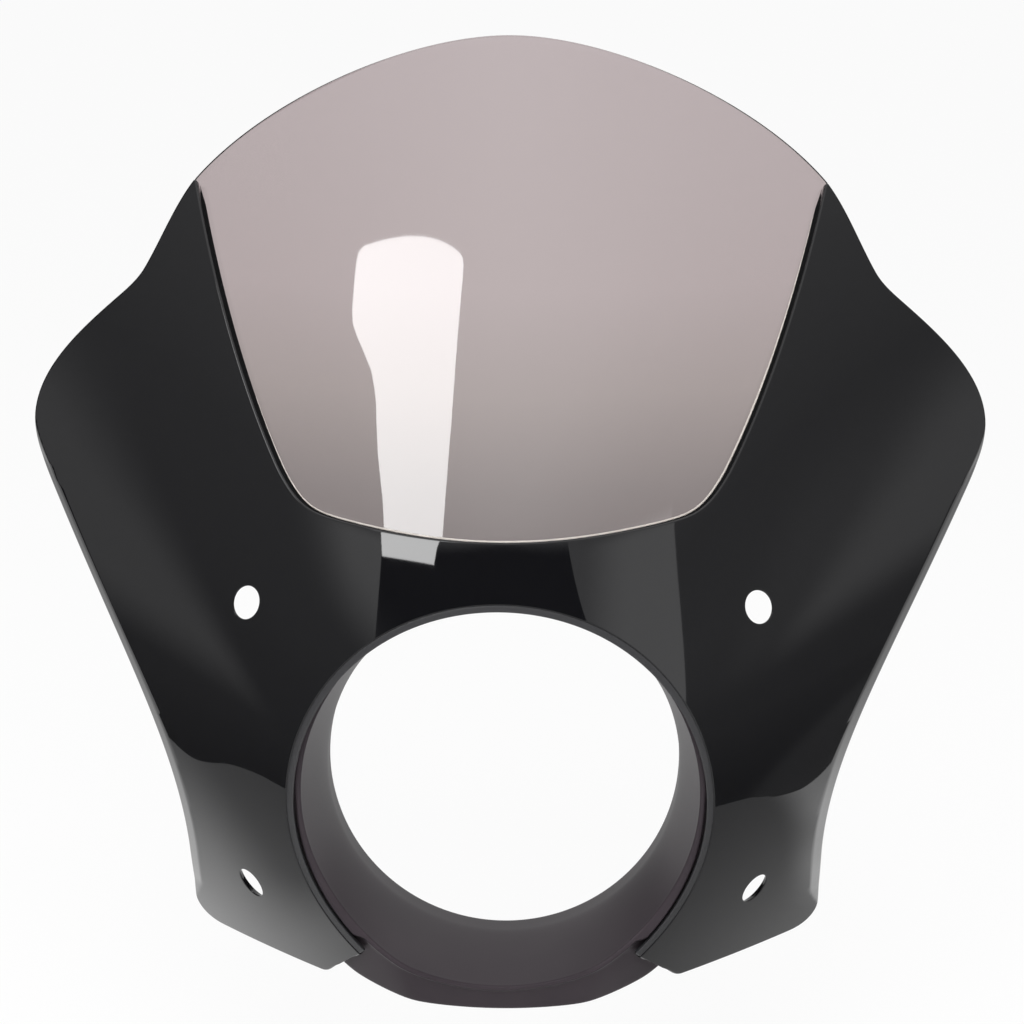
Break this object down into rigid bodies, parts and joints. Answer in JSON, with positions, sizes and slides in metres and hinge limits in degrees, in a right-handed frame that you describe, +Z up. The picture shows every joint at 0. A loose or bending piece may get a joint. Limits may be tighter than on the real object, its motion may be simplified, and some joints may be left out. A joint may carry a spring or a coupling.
{
  "type": "motorcycle headlight cowl",
  "caption": "Glossy moulded cowl that wraps round a motorcycle headlight, with a smoked windscreen above, a round lamp collar and bolt holes in its side wings.",
  "frame": {"origin": "on the lamp's axis, at the rear edge of the collar's sleeve", "axes": "+Y along the lamp's axis to the rear, so the front looks along -Y; +Z up; +X to the right as seen from the front"},
  "size_m": [0.4154, 0.1588, 0.3968],
  "materials": {
    "shell": "high gloss, moulded in black",
    "screen": "clear and polished, with a smoke tint",
    "collar": "semi-gloss, moulded in black"
  },
  "bodies": {
    "root": {"cowl_shell": "shell", "windscreen": "screen", "headlight_collar": "collar"}
  },
  "joints": []
}
